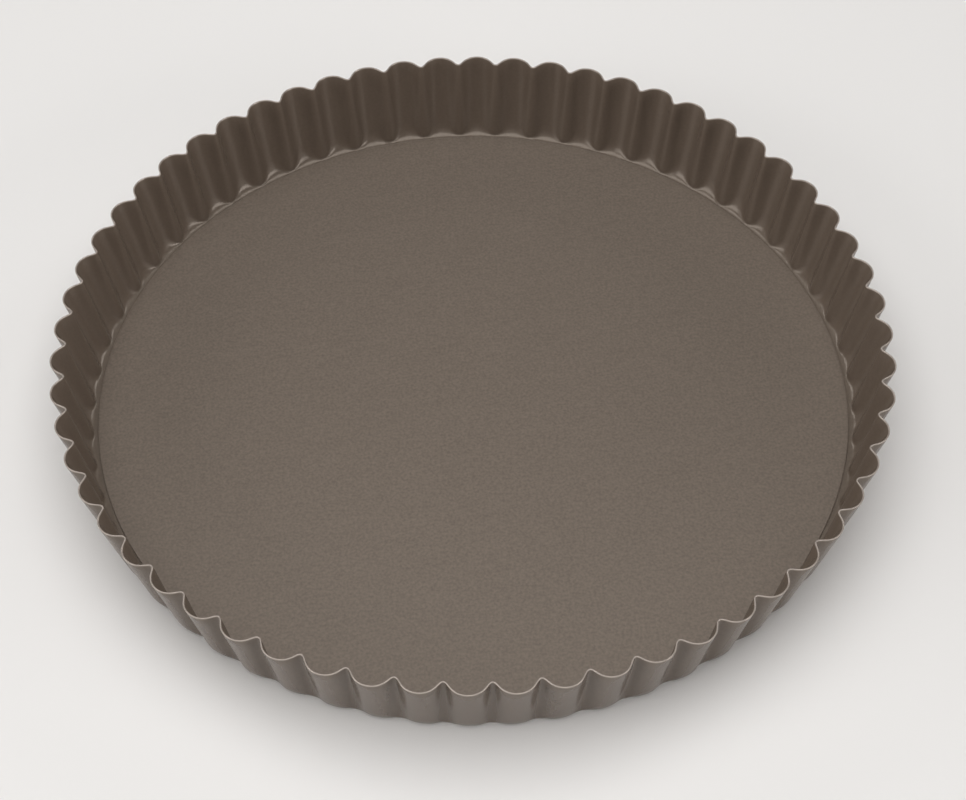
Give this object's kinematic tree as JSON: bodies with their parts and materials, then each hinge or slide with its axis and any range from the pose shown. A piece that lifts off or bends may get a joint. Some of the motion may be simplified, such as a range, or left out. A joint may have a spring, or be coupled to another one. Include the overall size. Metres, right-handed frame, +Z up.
{
  "type": "loose-bottom tart pan",
  "caption": "Round tart pan: a fluted, flared ring of thin coated sheet with an inward lip at its foot, and a flat loose base that rests on the lip and lifts out upward.",
  "frame": {"origin": "centre of the foot, on the surface that the pan stands on", "axes": "+Z up along the pan's axis, +X through the crest of a flute"},
  "size_m": [0.28, 0.28, 0.032],
  "materials": {
    "ring_coat": "satin taupe non-stick coat on pressed sheet steel",
    "base_coat": "satin taupe non-stick coat with a fine speckle on flat sheet steel"
  },
  "bodies": {
    "ring": {"fluted_ring": "ring_coat"},
    "base": {"loose_base": "base_coat"}
  },
  "joints": [
    {"name": "base_lift", "type": "slide", "parent": "ring", "child": "base", "axis": [0, 0, 1], "range_m": [0, 0.05]}
  ]
}
